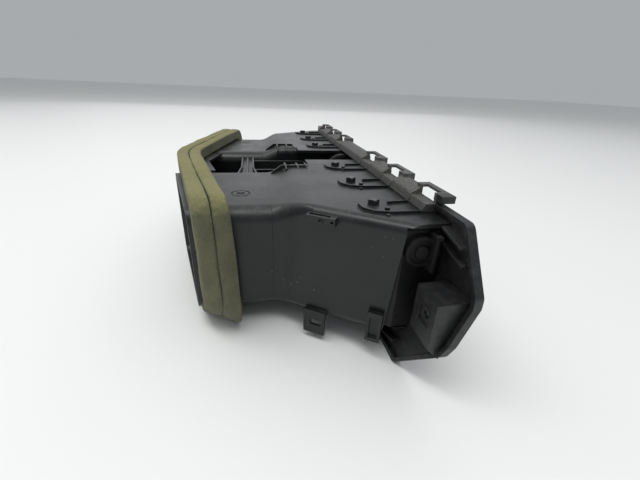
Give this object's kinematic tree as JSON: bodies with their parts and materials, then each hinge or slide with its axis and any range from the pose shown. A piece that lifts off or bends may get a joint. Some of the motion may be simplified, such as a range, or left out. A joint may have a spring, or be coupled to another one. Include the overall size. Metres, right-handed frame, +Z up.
{
  "type": "centre air vent",
  "caption": "Twin-outlet centre dashboard air vent: louvred bezel, flared black ducts, shut-off doors worked by thumbwheels, and a foam-sealed inlet.",
  "frame": {"origin": "bottom centre of the bounding box, on the surface the vent rests on", "axes": "+X to the right seen from the front along the bezel, +Y from the bezel towards the duct inlets, +Z up"},
  "size_m": [0.339, 0.1402, 0.0842],
  "materials": {
    "bezel_plastic": "grained satin black",
    "duct_plastic": "moulded semi-gloss black",
    "louvre_plastic": "satin black",
    "control_plastic": "fine-grained black",
    "mechanism_plastic": "natural black acetal",
    "seal_foam": "olive-grey open-cell foam",
    "door_foam": "charcoal foam"
  },
  "bodies": {
    "vent_body": {"front_bezel": "bezel_plastic", "left_duct_housing": "duct_plastic", "right_duct_housing": "duct_plastic", "left_duct_floor": "duct_plastic", "right_duct_floor": "duct_plastic", "left_louvre_frame": "louvre_plastic", "right_louvre_frame": "louvre_plastic", "left_inlet_duct": "duct_plastic", "right_inlet_duct": "duct_plastic", "centre_web": "duct_plastic", "centre_bridge": "duct_plastic", "foam_seal_front": "seal_foam", "foam_seal_rear": "seal_foam", "wheel_carrier": "mechanism_plastic", "retaining_pegs": "mechanism_plastic"},
    "left_horizontal_vane_1": {"left_horizontal_vane_1": "louvre_plastic"},
    "left_horizontal_vane_2": {"left_horizontal_vane_2": "louvre_plastic"},
    "left_horizontal_vane_3": {"left_horizontal_vane_3": "louvre_plastic"},
    "left_horizontal_vane_4": {"left_horizontal_vane_4": "louvre_plastic"},
    "left_horizontal_link": {"left_horizontal_link": "louvre_plastic"},
    "left_vane_knob": {"left_vane_knob": "control_plastic"},
    "left_vertical_vane_1": {"left_vertical_vane_1": "louvre_plastic"},
    "left_vertical_vane_2": {"left_vertical_vane_2": "louvre_plastic"},
    "left_vertical_vane_3": {"left_vertical_vane_3": "louvre_plastic"},
    "left_vertical_vane_4": {"left_vertical_vane_4": "louvre_plastic"},
    "left_vertical_vane_5": {"left_vertical_vane_5": "louvre_plastic"},
    "left_vertical_link": {"left_vertical_link": "louvre_plastic"},
    "left_damper_door": {"left_damper_door": "mechanism_plastic", "left_damper_seal": "door_foam"},
    "left_thumbwheel": {"left_thumbwheel": "control_plastic"},
    "left_damper_rod": {"left_damper_rod": "mechanism_plastic"},
    "right_horizontal_vane_1": {"right_horizontal_vane_1": "louvre_plastic"},
    "right_horizontal_vane_2": {"right_horizontal_vane_2": "louvre_plastic"},
    "right_horizontal_vane_3": {"right_horizontal_vane_3": "louvre_plastic"},
    "right_horizontal_vane_4": {"right_horizontal_vane_4": "louvre_plastic"},
    "right_horizontal_link": {"right_horizontal_link": "louvre_plastic"},
    "right_vane_knob": {"right_vane_knob": "control_plastic"},
    "right_vertical_vane_1": {"right_vertical_vane_1": "louvre_plastic"},
    "right_vertical_vane_2": {"right_vertical_vane_2": "louvre_plastic"},
    "right_vertical_vane_3": {"right_vertical_vane_3": "louvre_plastic"},
    "right_vertical_vane_4": {"right_vertical_vane_4": "louvre_plastic"},
    "right_vertical_vane_5": {"right_vertical_vane_5": "louvre_plastic"},
    "right_vertical_link": {"right_vertical_link": "louvre_plastic"},
    "right_damper_door": {"right_damper_door": "mechanism_plastic", "right_damper_seal": "door_foam"},
    "right_thumbwheel": {"right_thumbwheel": "control_plastic"},
    "right_damper_rod": {"right_damper_rod": "mechanism_plastic"}
  },
  "joints": [
    {"name": "left_tilt_1", "type": "hinge", "parent": "vent_body", "child": "left_horizontal_vane_1", "pos_m": [-0.08625, -0.04892, 0.02625], "axis": [1, 0, 0], "range_deg": [-22, 22]},
    {"name": "left_tilt_2", "type": "hinge", "parent": "vent_body", "child": "left_horizontal_vane_2", "pos_m": [-0.08625, -0.05316, 0.03875], "axis": [1, 0, 0], "range_deg": [-22, 22]},
    {"name": "left_tilt_3", "type": "hinge", "parent": "vent_body", "child": "left_horizontal_vane_3", "pos_m": [-0.08625, -0.05665, 0.05125], "axis": [1, 0, 0], "range_deg": [-22, 22]},
    {"name": "left_tilt_4", "type": "hinge", "parent": "vent_body", "child": "left_horizontal_vane_4", "pos_m": [-0.08625, -0.05665, 0.06375], "axis": [1, 0, 0], "range_deg": [-22, 22]},
    {"name": "left_tilt_link", "type": "hinge", "parent": "left_horizontal_vane_3", "child": "left_horizontal_link", "pos_m": [-0.1355, -0.05165, 0.05125], "axis": [1, 0, 0], "range_deg": [-22, 22]},
    {"name": "left_swing_1", "type": "hinge", "parent": "vent_body", "child": "left_vertical_vane_1", "pos_m": [-0.05225, -0.03015, 0.045], "axis": [0, 0, 1], "range_deg": [-30, 30]},
    {"name": "left_swing_2", "type": "hinge", "parent": "vent_body", "child": "left_vertical_vane_2", "pos_m": [-0.06925, -0.03015, 0.045], "axis": [0, 0, 1], "range_deg": [-30, 30]},
    {"name": "left_swing_3", "type": "hinge", "parent": "vent_body", "child": "left_vertical_vane_3", "pos_m": [-0.08625, -0.03015, 0.045], "axis": [0, 0, 1], "range_deg": [-30, 30]},
    {"name": "left_swing_4", "type": "hinge", "parent": "vent_body", "child": "left_vertical_vane_4", "pos_m": [-0.10325, -0.03015, 0.045], "axis": [0, 0, 1], "range_deg": [-30, 30]},
    {"name": "left_swing_5", "type": "hinge", "parent": "vent_body", "child": "left_vertical_vane_5", "pos_m": [-0.12025, -0.03015, 0.045], "axis": [0, 0, 1], "range_deg": [-30, 30]},
    {"name": "left_swing_link", "type": "hinge", "parent": "left_vertical_vane_3", "child": "left_vertical_link", "pos_m": [-0.08625, -0.02515, 0.022], "axis": [0, 0, 1], "range_deg": [-30, 30]},
    {"name": "left_knob_slide", "type": "slide", "parent": "left_horizontal_vane_3", "child": "left_vane_knob", "axis": [1, 0, 0], "range_m": [-0.0086, 0.0086]},
    {"name": "left_door_turn", "type": "hinge", "parent": "vent_body", "child": "left_damper_door", "pos_m": [-0.0675, 0.01735, 0.041], "axis": [-1, 0, 0], "range_deg": [0, 80]},
    {"name": "left_wheel_turn", "type": "hinge", "parent": "vent_body", "child": "left_thumbwheel", "pos_m": [-0.0135, -0.05715, 0.06], "axis": [-1, 0, 0], "range_deg": [0, 80]},
    {"name": "left_rod_pivot", "type": "hinge", "parent": "left_thumbwheel", "child": "left_damper_rod", "pos_m": [-0.018, -0.06062, 0.06721], "axis": [-1, 0, 0], "range_deg": [-80, 0]},
    {"name": "right_tilt_1", "type": "hinge", "parent": "vent_body", "child": "right_horizontal_vane_1", "pos_m": [0.08625, -0.04892, 0.02625], "axis": [1, 0, 0], "range_deg": [-22, 22]},
    {"name": "right_tilt_2", "type": "hinge", "parent": "vent_body", "child": "right_horizontal_vane_2", "pos_m": [0.08625, -0.05316, 0.03875], "axis": [1, 0, 0], "range_deg": [-22, 22]},
    {"name": "right_tilt_3", "type": "hinge", "parent": "vent_body", "child": "right_horizontal_vane_3", "pos_m": [0.08625, -0.05665, 0.05125], "axis": [1, 0, 0], "range_deg": [-22, 22]},
    {"name": "right_tilt_4", "type": "hinge", "parent": "vent_body", "child": "right_horizontal_vane_4", "pos_m": [0.08625, -0.05665, 0.06375], "axis": [1, 0, 0], "range_deg": [-22, 22]},
    {"name": "right_tilt_link", "type": "hinge", "parent": "right_horizontal_vane_3", "child": "right_horizontal_link", "pos_m": [0.1355, -0.05165, 0.05125], "axis": [1, 0, 0], "range_deg": [-22, 22]},
    {"name": "right_swing_1", "type": "hinge", "parent": "vent_body", "child": "right_vertical_vane_1", "pos_m": [0.05225, -0.03015, 0.045], "axis": [0, 0, 1], "range_deg": [-30, 30]},
    {"name": "right_swing_2", "type": "hinge", "parent": "vent_body", "child": "right_vertical_vane_2", "pos_m": [0.06925, -0.03015, 0.045], "axis": [0, 0, 1], "range_deg": [-30, 30]},
    {"name": "right_swing_3", "type": "hinge", "parent": "vent_body", "child": "right_vertical_vane_3", "pos_m": [0.08625, -0.03015, 0.045], "axis": [0, 0, 1], "range_deg": [-30, 30]},
    {"name": "right_swing_4", "type": "hinge", "parent": "vent_body", "child": "right_vertical_vane_4", "pos_m": [0.10325, -0.03015, 0.045], "axis": [0, 0, 1], "range_deg": [-30, 30]},
    {"name": "right_swing_5", "type": "hinge", "parent": "vent_body", "child": "right_vertical_vane_5", "pos_m": [0.12025, -0.03015, 0.045], "axis": [0, 0, 1], "range_deg": [-30, 30]},
    {"name": "right_swing_link", "type": "hinge", "parent": "right_vertical_vane_3", "child": "right_vertical_link", "pos_m": [0.08625, -0.02515, 0.022], "axis": [0, 0, 1], "range_deg": [-30, 30]},
    {"name": "right_knob_slide", "type": "slide", "parent": "right_horizontal_vane_3", "child": "right_vane_knob", "axis": [1, 0, 0], "range_m": [-0.0086, 0.0086]},
    {"name": "right_door_turn", "type": "hinge", "parent": "vent_body", "child": "right_damper_door", "pos_m": [0.0675, 0.01735, 0.041], "axis": [-1, 0, 0], "range_deg": [0, 80]},
    {"name": "right_wheel_turn", "type": "hinge", "parent": "vent_body", "child": "right_thumbwheel", "pos_m": [0.0135, -0.05715, 0.06], "axis": [-1, 0, 0], "range_deg": [0, 80]},
    {"name": "right_rod_pivot", "type": "hinge", "parent": "right_thumbwheel", "child": "right_damper_rod", "pos_m": [0.018, -0.06062, 0.06721], "axis": [-1, 0, 0], "range_deg": [-80, 0]}
  ],
  "couplings": [
    {"joint": "left_tilt_1", "follows": "left_tilt_3", "ratio": 1},
    {"joint": "left_tilt_2", "follows": "left_tilt_3", "ratio": 1},
    {"joint": "left_tilt_4", "follows": "left_tilt_3", "ratio": 1},
    {"joint": "left_tilt_link", "follows": "left_tilt_3", "ratio": -1},
    {"joint": "left_swing_1", "follows": "left_swing_3", "ratio": 1},
    {"joint": "left_swing_2", "follows": "left_swing_3", "ratio": 1},
    {"joint": "left_swing_4", "follows": "left_swing_3", "ratio": 1},
    {"joint": "left_swing_5", "follows": "left_swing_3", "ratio": 1},
    {"joint": "left_swing_link", "follows": "left_swing_3", "ratio": -1},
    {"joint": "left_knob_slide", "follows": "left_swing_3", "m_per_rad": 0.016234},
    {"joint": "left_wheel_turn", "follows": "left_door_turn", "ratio": 1},
    {"joint": "left_rod_pivot", "follows": "left_door_turn", "ratio": -1},
    {"joint": "right_tilt_1", "follows": "right_tilt_3", "ratio": 1},
    {"joint": "right_tilt_2", "follows": "right_tilt_3", "ratio": 1},
    {"joint": "right_tilt_4", "follows": "right_tilt_3", "ratio": 1},
    {"joint": "right_tilt_link", "follows": "right_tilt_3", "ratio": -1},
    {"joint": "right_swing_1", "follows": "right_swing_3", "ratio": 1},
    {"joint": "right_swing_2", "follows": "right_swing_3", "ratio": 1},
    {"joint": "right_swing_4", "follows": "right_swing_3", "ratio": 1},
    {"joint": "right_swing_5", "follows": "right_swing_3", "ratio": 1},
    {"joint": "right_swing_link", "follows": "right_swing_3", "ratio": -1},
    {"joint": "right_knob_slide", "follows": "right_swing_3", "m_per_rad": 0.016234},
    {"joint": "right_wheel_turn", "follows": "right_door_turn", "ratio": 1},
    {"joint": "right_rod_pivot", "follows": "right_door_turn", "ratio": -1}
  ]
}
